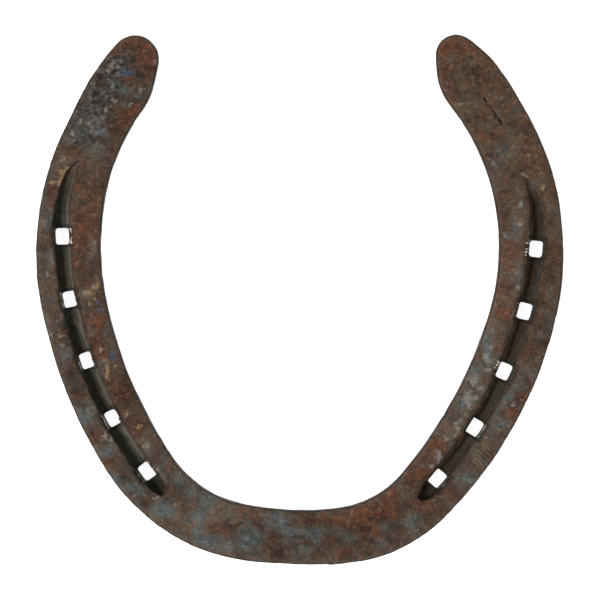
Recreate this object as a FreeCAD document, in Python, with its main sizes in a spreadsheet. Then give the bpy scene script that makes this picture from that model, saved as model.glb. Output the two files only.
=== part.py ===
"""A horseshoe: one forged bar with a crease and five nail holes along each branch.

Frame in mm: +Z up through the ground face (creases upwards), the face that lies against the hoof on
z = 0, the toe towards -Y and the heels towards +Y, the origin under the middle of the shoe.
Each branch is worked out on its own side as (x outwards, y, heading); side is +1 for the right
branch and -1 for the left, and turns x outwards into x.
"""

import FreeCAD, Part
import math
import os

import Sketcher

V = FreeCAD.Vector
UP = V(0, 0, 1)
SIDES = {"right": 1, "left": -1}

# Both edges of the bar are tangent arcs walked from the toe towards the heel.
# stretch: (radius, sweep in degrees), one row for each side of the shoe.
OUTER_EDGE = {
    "right": {
        "toe": (62, 9),
        "toe_quarter": (38, 35),
        "branch": (103, 33.5),
        "quarter": (71, 37.5),
        "heel_quarter": (101, 10),
        "heel_corner": (28, 15.5),
        "heel_end": (152, 1.5),
    },
    "left": {
        "toe": (172, 5.5),
        "toe_quarter": (49, 52),
        "branch": (121, 20.5),
        "quarter": (71, 36),
        "heel_quarter": (186, 4.5),
        "heel": (52, 14.5),
    },
}
INNER_EDGE = {
    "right": {
        "toe": (62, 9),
        "toe_quarter": (24, 40.5),
        "branch": (114, 23),
        "quarter": (58, 43),
        "heel_quarter": (49, 14),
    },
    "left": {
        "toe": (75, 12.5),
        "toe_quarter": (27, 43.5),
        "branch": (113, 21),
        "quarter": (68, 24.5),
        "heel_quarter": (53, 24.5),
    },
}

DIMENSIONS = {
    "thickness": 8,
    "outer_toe_offset": 5,  # the outermost point of the toe, to the right of the middle
    "outer_toe_reach": 66.2,
    "inner_toe_offset": 1,
    "inner_toe_reach": 52.7,
    "heel_tip_right": 5,
    "heel_tip_left": 6,
    "heel_knee_right": 16,  # where the heel's inner side meets the inner edge
    "heel_knee_left": 17,
    "ground_edge_round": 1.2,
    "hoof_edge_round": 0.8,
    # crease: a groove round an arc whose centre lies across the middle line
    "crease_radius": 105,
    "crease_centre_across": 45.3,
    "crease_centre_right": 23.4,
    "crease_centre_left": 20.2,
    "crease_start_right": 42.3,  # degrees round that centre, below the line square to the middle
    "crease_start_left": 38.8,
    "crease_sweep": 38.8,
    "crease_depth": 4.5,
    "crease_floor_outer": 1.5,  # the floor reaches this far outwards and inwards from that arc
    "crease_floor_inner": 0.5,
    "crease_outer_draft": 7,
    "crease_inner_draft": 24,
    "run_out_radius_right": 26,  # the crease turns inwards and dies out towards the heel
    "run_out_radius_left": 24,
    "run_out_sweep_right": 33,
    "run_out_sweep_left": 38,
    "toe_end_length": 3.9,
    # nail holes: punched down through the crease, which they notch; narrowest at the hoof
    "first_nail_right": 40.5,
    "first_nail_left": 37,
    "nail_pitch": 15.9,
    "nail_long": 4,
    "nail_across": 3.2,
    "nail_head_long": 4.9,
    "nail_head_across": 4.2,
    "nail_toe_tilt": 4,  # degrees, easing to upright at the heel
    # a short worn nick in the ground face of the right heel
    "nick_toe_x": 50.3,
    "nick_toe_y": 44.3,
    "nick_heel_x": 46.1,
    "nick_heel_y": 50.2,
    "nick_half_width": 0.35,
    "nick_depth": 0.6,
}
NAILS = 5
CLEARANCE = 1.0  # cutting tools stand this far proud of the ground face


# ---------------------------------------------------------------- document and sheet
doc = FreeCAD.newDocument("horseshoe")
sheet = doc.addObject("Spreadsheet::Sheet", "Sizes")


def fill_sheet():
    """Write every driving dimension as text with its word alias."""
    rows = dict(DIMENSIONS)
    for edge, table in (("outer", OUTER_EDGE), ("inner", INNER_EDGE)):
        for name, arcs in table.items():
            for stretch, (radius, sweep) in arcs.items():
                rows[f"{edge}_{name}_{stretch}_radius"] = radius
                rows[f"{edge}_{name}_{stretch}_sweep"] = sweep
    for row, (alias, value) in enumerate(rows.items(), start=1):
        sheet.set(f"A{row}", alias)
        sheet.set(f"B{row}", str(value))
        sheet.setAlias(f"B{row}", alias)
    doc.recompute()


fill_sheet()


def size(alias):
    return float(sheet.get(alias))


# ---------------------------------------------------------------- sketch helpers
body = doc.addObject("PartDesign::Body", "forged_shoe")


def plane(role):
    return next(o for o in body.Origin.OriginFeatures if o.Role == role)


def new_sketch(name, role, offset=None):
    sketch = body.newObject("Sketcher::SketchObject", name)
    sketch.AttachmentSupport = [(plane(role), "")]
    sketch.MapMode = "FlatFace"
    if offset is not None:
        sketch.AttachmentOffset = offset
    return sketch


def dimension(sketch, kind, *args, expression=None):
    """Add one dimensional constraint; args end in its value, expression ties it to the sheet."""
    index = sketch.addConstraint(Sketcher.Constraint(kind, *args))
    if expression:
        name = f"d{index}"
        sketch.renameConstraint(index, name)
        sketch.setExpression(f"Constraints.{name}", expression)


class Arc:
    """A sketch arc on one side of the shoe, kept with the vertex numbers of its two ends.

    from_angle and to_angle turn counterclockwise as seen on the right-hand side.
    """

    def __init__(self, sketch, side, centre, radius, from_angle, to_angle):
        while to_angle < from_angle:
            to_angle += 2 * math.pi
        self.first, self.last = 1, 2
        if side < 0:
            from_angle, to_angle = math.pi - to_angle, math.pi - from_angle
            self.first, self.last = 2, 1
        circle = Part.Circle(V(side * centre[0], centre[1], 0), UP, radius)
        self.id = sketch.addGeometry(Part.ArcOfCircle(circle, from_angle, to_angle))


def left_of(point, heading, distance):
    """The point that lies this far to the left of someone standing at point."""
    return (point[0] - distance * math.sin(heading), point[1] + distance * math.cos(heading))


def add_chain(sketch, side, edge, name, stretches, start):
    """Add tangent arcs from the toe to the heel; return them, the end point and the end heading."""
    point, heading, arcs = start, 0.0, []
    for stretch in stretches:
        alias = f"{edge}_{name}_{stretch}"
        radius, sweep = size(alias + "_radius"), math.radians(size(alias + "_sweep"))
        centre = left_of(point, heading, radius)
        arc = Arc(sketch, side, centre, radius, heading - math.pi / 2, heading + sweep - math.pi / 2)
        dimension(sketch, "Radius", arc.id, radius, expression=f"Sizes.{alias}_radius")
        dimension(sketch, "Angle", arc.id, sweep, expression=f"Sizes.{alias}_sweep * 1deg")
        if arcs:
            join(sketch, arcs[-1].id, arcs[-1].last, arc.id, arc.first)
        arcs.append(arc)
        heading += sweep
        point = left_of(centre, heading, -radius)
    return arcs, point, heading


def join(sketch, one, one_end, other, other_end):
    sketch.addConstraint(Sketcher.Constraint("Tangent", one, one_end, other, other_end))


def add_branch(sketch, name, side):
    """Draw one branch: outer edge, rounded heel tip, straight heel side, knee and inner edge."""
    outer_toe = (side * size("outer_toe_offset"), -size("outer_toe_reach"))
    inner_toe = (side * size("inner_toe_offset"), -size("inner_toe_reach"))
    outer, heel, heading = add_chain(sketch, side, "outer", name, OUTER_EDGE[name], outer_toe)
    inner, knee_end, inner_heading = add_chain(sketch, side, "inner", name, INNER_EDGE[name], inner_toe)
    tip_radius, knee_radius = size(f"heel_tip_{name}"), size(f"heel_knee_{name}")
    back = inner_heading + math.pi
    tip_centre = left_of(heel, heading, tip_radius)
    knee_centre = left_of(knee_end, back, knee_radius)
    # the heel side is the straight line that touches both circles
    apart = V(knee_centre[0] - tip_centre[0], knee_centre[1] - tip_centre[1], 0)
    line = math.atan2(apart.y, apart.x) + math.asin((tip_radius - knee_radius) / apart.Length)
    quarter = math.pi / 2
    tip = Arc(sketch, side, tip_centre, tip_radius, heading - quarter, line - quarter)
    knee = Arc(sketch, side, knee_centre, knee_radius, line - quarter, back - quarter)
    ends = [left_of(tip_centre, line, -tip_radius), left_of(knee_centre, line, -knee_radius)]
    heel_side = sketch.addGeometry(Part.LineSegment(*[V(side * x, y, 0) for x, y in ends]))
    dimension(sketch, "Radius", tip.id, tip_radius, expression=f"Sizes.heel_tip_{name}")
    dimension(sketch, "Radius", knee.id, knee_radius, expression=f"Sizes.heel_knee_{name}")
    join(sketch, outer[-1].id, outer[-1].last, tip.id, tip.first)
    join(sketch, tip.id, tip.last, heel_side, 1)
    join(sketch, heel_side, 2, knee.id, knee.first)
    join(sketch, knee.id, knee.last, inner[-1].id, inner[-1].last)
    return outer[0], inner[0]


def pin_toe(sketch, edge, right, left):
    """Fix the toe point of one edge and make the two branches meet there square to the middle."""
    dimension(
        sketch, "DistanceX", -1, 1, right.id, right.first, size(f"{edge}_toe_offset"),
        expression=f"Sizes.{edge}_toe_offset",
    )
    dimension(
        sketch, "DistanceY", right.id, right.first, -1, 1, size(f"{edge}_toe_reach"),
        expression=f"Sizes.{edge}_toe_reach",
    )
    sketch.addConstraint(Sketcher.Constraint("Vertical", right.id, 3, right.id, right.first))
    join(sketch, right.id, right.first, left.id, left.first)


# ---------------------------------------------------------------- the bent bar
outline = new_sketch("Outline", "XY_Plane")
toes = {name: add_branch(outline, name, side) for name, side in SIDES.items()}
pin_toe(outline, "outer", toes["right"][0], toes["left"][0])
pin_toe(outline, "inner", toes["right"][1], toes["left"][1])
doc.recompute()

bar = body.newObject("PartDesign::Pad", "Bar")
bar.Profile = outline
bar.setExpression("Length", "Sizes.thickness")
doc.recompute()


def round_edges(name, base, height, alias):
    """Round every edge that lies at this height."""
    edges = [
        f"Edge{number}"
        for number, edge in enumerate(base.Shape.Edges, start=1)
        if all(abs(vertex.Z - height) < 1e-6 for vertex in edge.Vertexes)
    ]
    fillet = body.newObject("PartDesign::Fillet", name)
    fillet.Base = (base, edges)
    fillet.setExpression("Radius", f"Sizes.{alias}")
    doc.recompute()
    return fillet


ground_round = round_edges("GroundEdgeRound", bar, size("thickness"), "ground_edge_round")
hoof_round = round_edges("HoofEdgeRound", ground_round, 0.0, "hoof_edge_round")


# ---------------------------------------------------------------- creases
def crease_centre(name):
    return -size("crease_centre_across"), size(f"crease_centre_{name}")


def on_crease(name, angle):
    """The point on the crease's centre line at this angle round its centre, and its heading."""
    x, y = crease_centre(name)
    radius = size("crease_radius")
    point = (x + radius * math.cos(angle), y + radius * math.sin(angle))
    return point, angle + math.pi / 2


def cross_section(label, side, point, heading, width_part, depth_part):
    """Sketch the crease's section square to its line, its own x pointing outwards."""
    outward = heading - math.pi / 2 if side > 0 else 3 * math.pi / 2 - heading
    turn = FreeCAD.Rotation(V(0, 1, 0), math.degrees(outward))  # the sketch's y is the shoe's z
    place = FreeCAD.Placement(V(side * point[0], 0, -point[1]), turn)
    sketch = new_sketch(label, "XZ_Plane", place)
    outer = size("crease_floor_outer") * width_part
    inner = size("crease_floor_inner") * width_part
    depth = size("crease_depth") * depth_part
    top, bottom = size("thickness") + CLEARANCE, size("thickness") - depth
    outer_lean = (top - bottom) * math.tan(math.radians(size("crease_outer_draft")))
    inner_lean = (top - bottom) * math.tan(math.radians(size("crease_inner_draft")))
    corners = [
        V(-inner, bottom, 0),
        V(outer, bottom, 0),
        V(outer + outer_lean, top, 0),
        V(-inner - inner_lean, top, 0),
    ]
    lines = [sketch.addGeometry(Part.LineSegment(corners[i], corners[(i + 1) % 4])) for i in range(4)]
    for i in range(4):
        sketch.addConstraint(Sketcher.Constraint("Coincident", lines[i], 2, lines[(i + 1) % 4], 1))
    sketch.addConstraint(Sketcher.Constraint("Horizontal", lines[0]))
    sketch.addConstraint(Sketcher.Constraint("Horizontal", lines[2]))
    rise = f"(Sizes.crease_depth * {depth_part} + {CLEARANCE})"
    floor_line, outer_wall, _, inner_wall = lines
    dimension(
        sketch, "DistanceX", floor_line, 1, -1, 1, inner,
        expression=f"Sizes.crease_floor_inner * {width_part}",
    )
    dimension(
        sketch, "DistanceX", -1, 1, floor_line, 2, outer,
        expression=f"Sizes.crease_floor_outer * {width_part}",
    )
    dimension(
        sketch, "DistanceY", -1, 1, floor_line, 1, bottom,
        expression=f"Sizes.thickness - Sizes.crease_depth * {depth_part}",
    )
    dimension(sketch, "DistanceY", outer_wall, 1, outer_wall, 2, top - bottom, expression=rise)
    dimension(
        sketch, "DistanceX", outer_wall, 1, outer_wall, 2, outer_lean,
        expression=f"{rise} * tan(Sizes.crease_outer_draft * 1deg)",
    )
    dimension(
        sketch, "DistanceX", inner_wall, 1, inner_wall, 2, inner_lean,
        expression=f"{rise} * tan(Sizes.crease_inner_draft * 1deg)",
    )
    return sketch


def crease_line(label, name, side):
    """Sketch the arc that the crease is pressed along, at the height of the ground face."""
    lift = FreeCAD.Placement(V(0, 0, size("thickness")), FreeCAD.Rotation())
    sketch = new_sketch(label, "XY_Plane", lift)
    start = -math.radians(size(f"crease_start_{name}"))
    sweep = math.radians(size("crease_sweep"))
    arc = Arc(sketch, side, crease_centre(name), size("crease_radius"), start, start + sweep)
    across = (arc.id, 3, -1, 1) if side > 0 else (-1, 1, arc.id, 3)
    dimension(
        sketch, "DistanceX", *across, size("crease_centre_across"),
        expression="Sizes.crease_centre_across",
    )
    dimension(
        sketch, "DistanceY", -1, 1, arc.id, 3, size(f"crease_centre_{name}"),
        expression=f"Sizes.crease_centre_{name}",
    )
    dimension(sketch, "Radius", arc.id, size("crease_radius"), expression="Sizes.crease_radius")
    dimension(sketch, "Angle", arc.id, sweep, expression="Sizes.crease_sweep * 1deg")
    dimension(
        sketch, "DistanceY", arc.id, arc.first, arc.id, 3, -size("crease_radius") * math.sin(start),
        expression=f"Sizes.crease_radius * sin(Sizes.crease_start_{name} * 1deg)",
    )
    return sketch


def cut_loft(label, sections):
    loft = body.newObject("PartDesign::SubtractiveLoft", label)
    loft.Profile = sections[0]
    loft.Sections = sections[1:]
    doc.recompute()
    return loft


# how the crease dies out: (part of the way, part of the full width, part of the full depth)
HEEL_RUN_OUT = {
    "right": [(0, 1, 1), (0.45, 0.95, 0.75), (0.75, 0.9, 0.45), (1, 0.3, 0.1)],
    "left": [(0, 1, 1), (0.33, 0.8, 0.88), (0.66, 0.8, 0.6), (1, 0.45, 0.12)],
}
TOE_RUN_OUT = [(0, 1, 1), (0.5, 0.85, 0.85), (1, 0.4, 0.25)]


def cut_crease(name, side):
    start = -math.radians(size(f"crease_start_{name}"))
    end = start + math.radians(size("crease_sweep"))
    path = crease_line(f"CreaseLine_{name}", name, side)
    profile = cross_section(f"CreaseSection_{name}", side, *on_crease(name, start), 1, 1)
    doc.recompute()
    crease = body.newObject("PartDesign::SubtractivePipe", f"Crease_{name}")
    crease.Profile = profile
    crease.Spine = (path, ["Edge1"])
    doc.recompute()

    sections = []
    radius, sweep = size(f"run_out_radius_{name}"), math.radians(size(f"run_out_sweep_{name}"))
    point, heading = on_crease(name, end)
    centre = left_of(point, heading, radius)
    for number, (part, width_part, depth_part) in enumerate(HEEL_RUN_OUT[name], start=1):
        turned = heading + sweep * part
        at = left_of(centre, turned, -radius)
        label = f"HeelRunOut_{name}_{number}"
        sections.append(cross_section(label, side, at, turned, width_part, depth_part))
    cut_loft(f"HeelRunOut_{name}", sections)

    sections = []
    for number, (part, width_part, depth_part) in enumerate(TOE_RUN_OUT, start=1):
        angle = start - part * size("toe_end_length") / size("crease_radius")
        label = f"ToeRunOut_{name}_{number}"
        sections.append(cross_section(label, side, *on_crease(name, angle), width_part, depth_part))
    cut_loft(f"ToeRunOut_{name}", sections)


# ---------------------------------------------------------------- nail holes
def rectangle(label, side, point, heading, height, across_alias, long_alias):
    """Sketch one end of a nail hole: across the bar in the sketch's x, along it in its y."""
    outward = heading - math.pi / 2 if side > 0 else 3 * math.pi / 2 - heading
    place = FreeCAD.Placement(
        V(side * point[0], point[1], height), FreeCAD.Rotation(UP, math.degrees(outward))
    )
    sketch = new_sketch(label, "XY_Plane", place)
    x, y = size(across_alias) / 2, size(long_alias) / 2
    corners = [V(-x, -y, 0), V(x, -y, 0), V(x, y, 0), V(-x, y, 0)]
    lines = [sketch.addGeometry(Part.LineSegment(corners[i], corners[(i + 1) % 4])) for i in range(4)]
    for i in range(4):
        sketch.addConstraint(Sketcher.Constraint("Coincident", lines[i], 2, lines[(i + 1) % 4], 1))
        sketch.addConstraint(Sketcher.Constraint(("Horizontal", "Vertical")[i % 2], lines[i]))
    sketch.addConstraint(Sketcher.Constraint("Symmetric", lines[0], 1, lines[2], 1, -1, 1))
    dimension(sketch, "DistanceX", lines[0], 1, lines[0], 2, 2 * x, expression=f"Sizes.{across_alias}")
    dimension(sketch, "DistanceY", lines[1], 1, lines[1], 2, 2 * y, expression=f"Sizes.{long_alias}")
    return sketch


def punch_nail_hole(name, side, number):
    """Punch hole number 0 (toe) to NAILS - 1 (heel), leaning inwards most at the toe."""
    step = size("nail_pitch") / size("crease_radius")
    angle = -math.radians(size(f"first_nail_{name}")) + number * step
    point, heading = on_crease(name, angle)
    tilt = math.radians(size("nail_toe_tilt")) * (1 - number / (NAILS - 1))
    floor = size("thickness") - size("crease_depth")
    head_height = size("thickness") + CLEARANCE
    lean = math.tan(tilt)
    at_hoof = left_of(point, heading, floor * lean)
    at_head = left_of(point, heading, (floor - head_height) * lean)
    label = f"NailHole_{name}_{number + 1}"
    hoof_end = rectangle(
        label + "_hoof", side, at_hoof, heading, 0, "nail_across", "nail_long"
    )
    head_end = rectangle(
        label + "_head", side, at_head, heading, head_height, "nail_head_across", "nail_head_long"
    )
    return cut_loft(label, [hoof_end, head_end])


def cut_nick():
    """Cut the short round-ended nick in the ground face of the right heel."""
    lift = FreeCAD.Placement(V(0, 0, size("thickness")), FreeCAD.Rotation())
    sketch = new_sketch("NickOutline", "XY_Plane", lift)
    toe_end = V(size("nick_toe_x"), size("nick_toe_y"), 0)
    heel_end = V(size("nick_heel_x"), size("nick_heel_y"), 0)
    radius = size("nick_half_width")
    along = (heel_end - toe_end).normalize()
    beside = V(-along.y, along.x, 0) * radius
    bearing = math.atan2(along.y, along.x)
    quarter = math.pi / 2
    toe_arc = sketch.addGeometry(
        Part.ArcOfCircle(Part.Circle(toe_end, UP, radius), bearing + quarter, bearing + 3 * quarter)
    )
    heel_arc = sketch.addGeometry(
        Part.ArcOfCircle(Part.Circle(heel_end, UP, radius), bearing - quarter, bearing + quarter)
    )
    right = sketch.addGeometry(Part.LineSegment(toe_end - beside, heel_end - beside))
    left = sketch.addGeometry(Part.LineSegment(heel_end + beside, toe_end + beside))
    join(sketch, toe_arc, 2, right, 1)
    join(sketch, right, 2, heel_arc, 1)
    join(sketch, heel_arc, 2, left, 1)
    join(sketch, left, 2, toe_arc, 1)
    sketch.addConstraint(Sketcher.Constraint("Equal", toe_arc, heel_arc))
    dimension(sketch, "Radius", toe_arc, radius, expression="Sizes.nick_half_width")
    for arc, end, point in ((toe_arc, "toe", toe_end), (heel_arc, "heel", heel_end)):
        dimension(sketch, "DistanceX", -1, 1, arc, 3, point.x, expression=f"Sizes.nick_{end}_x")
        dimension(sketch, "DistanceY", -1, 1, arc, 3, point.y, expression=f"Sizes.nick_{end}_y")
    nick = body.newObject("PartDesign::Pocket", "Nick")
    nick.Profile = sketch
    nick.setExpression("Length", "Sizes.nick_depth")
    doc.recompute()


for side_name, side_sign in SIDES.items():
    cut_crease(side_name, side_sign)
    for hole in range(NAILS):
        punch_nail_hole(side_name, side_sign, hole)
cut_nick()
doc.recompute()


# ---------------------------------------------------------------- checks and export
def check_features():
    """Stop if any object failed, any sketch is loose or any cutting feature removed nothing."""
    before = None
    for item in doc.Objects:
        if "Invalid" in item.State or "Error" in item.State:
            raise RuntimeError(f"{item.Name} failed: {item.State}")
        if item.isDerivedFrom("Sketcher::SketchObject") and not item.FullyConstrained:
            raise RuntimeError(f"{item.Name} isn't fully constrained")
        if item.isDerivedFrom("PartDesign::Feature") and not item.isDerivedFrom("PartDesign::Pad"):
            if item.Shape.isNull() or not item.Shape.isValid():
                raise RuntimeError(f"{item.Name} has no valid shape")
            if before is not None and item.Shape.Volume >= before - 1e-3:
                raise RuntimeError(f"{item.Name} cut nothing")
            before = item.Shape.Volume


check_features()
if body.Shape.isNull() or not body.Shape.isValid() or len(body.Shape.Solids) != 1:
    raise RuntimeError("the shoe is not one valid solid")

os.makedirs("parts", exist_ok=True)
body.Shape.exportStep("parts/forged_shoe.step")
print("volume", round(body.Shape.Volume, 1), "mm3, box", body.Shape.BoundBox)
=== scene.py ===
"""A rusted forged horseshoe lying ground face up on a pale floor, seen from straight above.

The shape is a finely remeshed copy of the CAD shoe. Hammer waves, scale, pits, burrs round the nail
holes and the battered left heel are pushed into its vertices, and the masks behind them are stored on
the vertices for the material. Places are in mm in the shoe's frame: x across, y from the toe to the
heels, z up from the hoof face.
"""

import math

import bpy
import bmesh
import numpy as np
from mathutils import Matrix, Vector


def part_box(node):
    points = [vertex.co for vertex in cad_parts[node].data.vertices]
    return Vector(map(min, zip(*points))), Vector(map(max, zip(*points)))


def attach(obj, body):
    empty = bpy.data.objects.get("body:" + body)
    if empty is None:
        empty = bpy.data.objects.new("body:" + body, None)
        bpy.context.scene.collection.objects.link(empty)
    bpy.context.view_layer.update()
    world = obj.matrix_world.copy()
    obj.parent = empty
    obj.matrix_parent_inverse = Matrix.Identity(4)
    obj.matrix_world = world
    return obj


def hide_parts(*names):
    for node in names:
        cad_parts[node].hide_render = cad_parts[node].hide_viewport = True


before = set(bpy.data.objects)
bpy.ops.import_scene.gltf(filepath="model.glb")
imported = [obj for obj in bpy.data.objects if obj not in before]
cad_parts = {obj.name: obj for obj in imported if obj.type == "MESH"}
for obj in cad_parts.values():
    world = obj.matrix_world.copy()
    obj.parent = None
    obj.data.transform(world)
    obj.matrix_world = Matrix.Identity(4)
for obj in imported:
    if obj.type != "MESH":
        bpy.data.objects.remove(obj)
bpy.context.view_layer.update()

MM = 0.001
NODE = "forged_shoe"
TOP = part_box(NODE)[1][2] / MM  # height of the ground face

# the creases and nail holes, as the CAD source has them; side 1 is right, -1 left
CREASE_RADIUS = 105.0
CREASE_ACROSS = 45.3
CREASE_SWEEP = 38.8
CREASE_DEPTH = 4.5
CREASE_FLOOR = TOP - CREASE_DEPTH
CREASES = {
    1: {"y": 23.4, "start": 42.3, "nail": 40.5, "run_radius": 26.0, "run_sweep": 33.0},
    -1: {"y": 20.2, "start": 38.8, "nail": 37.0, "run_radius": 24.0, "run_sweep": 38.0},
}
TOE_OVERRUN = 2.0  # degrees that each crease runs on past its start, towards the toe
NAIL_PITCH = 15.9
NAILS = 5  # in each branch
NAIL_TILT = 4.0  # degrees at the toe, easing to 0 at the heel
NAIL_HALF_LONG, NAIL_HALF_ACROSS, NAIL_LEVEL = 2.18, 1.8, 3.5  # half sizes at the crease floor's height
NAIL_FLARE = 0.05  # mm wider on each side for each mm up

# what lies where on the ground face: (x, y, half width, half length along y)
BRIGHT_RUST = [  # orange
    (-53.3, 20, 1.8, 4.2), (-52.6, 24.5, 1.8, 2.4), (22.8, -50, 1.3, 2.4), (-42.8, 45.4, 2.0, 1.8),
    (-61.8, 27.4, 1.1, 1.0), (9.5, -55.3, 5.6, 1.3), (58, 35, 1.9, 2.4), (34, -36, 1.5, 1.4),
    (30, -43.8, 2.0, 1.2), (56.6, -24.3, 1.8, 0.9), (52.5, -28, 1.2, 1.0), (51.6, -3, 1.3, 1.2),
    (57, 1.2, 1.2, 1.0), (-47.7, -40, 1.2, 0.8), (46.5, 59.3, 2.2, 2.0), (40, 62.6, 5.0, 1.6),
    (-41.5, 64, 4.6, 1.4), (-55, 28.8, 1.3, 0.9), (47, 41, 2.6, 1.0), (-50.4, -5.4, 1.3, 1.4),
    (15.5, -53.2, 3.2, 1.1), (36.3, 57.4, 1.3, 1.6), (-49.8, -12.7, 1.2, 1.2), (60.5, 2, 0.5, 2.2),
]
RUST = [  # red-brown
    (-38.5, 60, 2.8, 4.0), (-41, 47.8, 1.6, 1.6), (-46, 42.6, 2.0, 1.5), (-58.6, 39.4, 1.4, 1.4),
    (-55.8, 37.2, 2.2, 1.5), (-55, 16, 1.8, 3.2), (-55.2, 13.3, 1.8, 1.0), (-49.8, 27, 1.2, 2.5),
    (-63, 13.3, 1.6, 1.6), (-61.4, 6.8, 1.0, 1.2), (-54.6, 8.3, 1.6, 1.4), (-53.4, 4.6, 0.9, 2.2),
    (-59.6, -7, 1.8, 1.6), (-61.5, -4, 1.0, 2.0), (-57, -17.5, 1.0, 1.6), (-55.2, -23.6, 2.2, 1.6),
    (-51.6, -33.5, 1.3, 1.8), (-50, -36.4, 1.2, 1.6), (-42, -45.4, 1.0, 0.8), (-45, -43, 0.9, 1.2),
    (-46.8, -24, 1.6, 1.4), (-43.8, -22, 1.7, 2.6), (-50.8, -10.6, 1.0, 1.0), (-47.5, -19.5, 1.0, 1.2),
    (-41, -33.8, 1.1, 0.9), (-36.4, -40.2, 1.0, 1.0), (-32.2, -42.2, 1.2, 1.2), (-40.5, -31, 1.6, 1.3),
    (-37.8, -50.6, 1.4, 1.4), (-31.8, -56, 1.6, 1.0), (-28.6, -52.3, 2.2, 1.3), (-29.6, -49.4, 1.2, 1.2),
    (-18.6, -57.2, 4.2, 1.9), (-14.2, -53.6, 2.8, 1.0), (-10, -55.8, 1.2, 1.0), (-7, -60.4, 1.7, 2.6),
    (-5.2, -63.6, 2.2, 1.2), (-1.5, -56.2, 0.8, 0.6), (2.1, -60.4, 1.0, 0.6), (-2, -61.5, 1.2, 0.5),
    (5.2, -62.8, 1.8, 1.2), (10.2, -63.4, 2.2, 1.6), (16.8, -57.6, 3.0, 1.7), (16.6, -62, 2.8, 1.5),
    (20, -53.5, 2.0, 2.0), (7.6, -60.6, 1.6, 1.4), (28.4, -50.8, 1.6, 1.2), (33.5, -51.8, 3.2, 1.8),
    (36.6, -47.6, 2.8, 1.3), (39, -49, 1.6, 1.0), (27.2, -45.5, 1.4, 1.2), (38.5, -30.4, 1.0, 1.0),
    (46.8, -39.5, 1.6, 1.2), (45.2, -13.3, 0.8, 1.6), (49, -12.6, 1.0, 1.4), (62, -11, 1.0, 2.2),
    (58.2, -12.8, 1.2, 1.2), (57, -20.8, 1.0, 0.8), (52.5, 12.8, 1.7, 1.4), (51.3, 21.2, 1.0, 0.7),
    (50.6, 3.4, 1.4, 1.2), (62.8, 13, 1.5, 2.0), (63, 10, 0.9, 1.0), (62.2, 18.6, 0.9, 1.4),
    (61.2, 23, 0.9, 1.1), (44.6, 55.6, 2.2, 1.8), (38.2, 51.6, 1.6, 1.3), (50.6, 53, 1.4, 1.4),
    (45.2, 46.7, 1.4, 1.0), (52.3, 44, 1.1, 0.6), (57, 40.6, 1.6, 2.2), (46.8, 35.8, 1.0, 1.0),
    (36, 54.4, 1.0, 1.2), (44, 41.8, 0.8, 1.2), (-39.4, 52.6, 1.2, 1.2), (-48.2, 37.4, 1.4, 0.8),
]
SCALE = [  # blue-grey mill scale
    (-33.6, -52.2, 2.8, 2.2), (-25.4, -53.8, 1.8, 1.8), (-25.2, -57.8, 1.7, 2.6), (-22.6, -60.2, 2.4, 1.6),
    (-22.8, -50, 2.4, 1.8), (-27, -47.6, 1.8, 1.4), (-13, -60, 3.4, 2.4), (-10.4, -58.7, 1.4, 1.0),
    (-18, -61.5, 1.8, 1.4), (-5.6, -55.5, 3.0, 1.7), (-2.6, -58, 2.2, 1.2), (3.2, -58, 4.0, 1.1),
    (1.8, -62.3, 2.2, 0.7), (-1.4, -63.2, 1.4, 0.9), (4.2, -60, 1.0, 0.8), (21.2, -56.3, 1.1, 1.0),
    (20.2, -61.3, 1.4, 1.0), (12.5, -59.8, 1.3, 0.8), (28.2, -55.5, 2.0, 2.6), (-42.6, -47, 2.2, 1.8),
    (-40, -49, 1.4, 1.2), (-53, -29, 2.0, 2.2), (-46.2, -44.5, 1.4, 1.0), (57, -17.8, 1.6, 1.3),
    (54.4, -21.2, 1.7, 1.6), (51.6, -24, 1.2, 1.6), (60.4, -9, 0.9, 0.8), (41.6, -44.7, 2.2, 1.4),
    (-49, 42.3, 1.6, 1.1), (-53.4, 40.2, 1.3, 1.2), (-51.4, 37.2, 2.2, 1.3), (-40.5, 51.2, 1.1, 1.0),
    (-44.6, 52.9, 2.2, 1.4), (51.3, 36.2, 2.2, 3.4), (-48, -37.4, 1.8, 1.6), (62.2, 1.5, 1.3, 2.2),
    (62.6, -4.5, 1.1, 2.4), (-62, 10.3, 1.6, 1.4), (-58.4, -13.8, 1.6, 1.0), (-30, -44.6, 1.4, 1.3),
    (54, 47.4, 1.0, 1.4), (47.2, 42.3, 0.9, 0.8), (53, 42.4, 1.0, 1.2), (25, -46, 1.0, 0.8),
    (-63, 20, 1.6, 1.4), (-52, 14, 0.8, 2.2), (53.8, 18, 1.4, 3.4), (46.8, -12.5, 1.2, 3.2),
    (44, -18, 1.4, 1.6), (41.2, -25.4, 1.2, 1.8), (48.2, -8.3, 0.8, 0.9), (-38.4, -37, 1.2, 1.2),
    (50, -31, 1.2, 1.4), (38.2, 60, 0.9, 0.7), (43, 60, 1.0, 0.7), (-43, 62.2, 1.6, 1.3),
    (63, 24, 1.2, 1.4), (-43.2, 48.8, 1.5, 0.9), (-56.4, 41.2, 1.6, 1.4), (54.6, 6, 1.0, 2.8),
]
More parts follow.
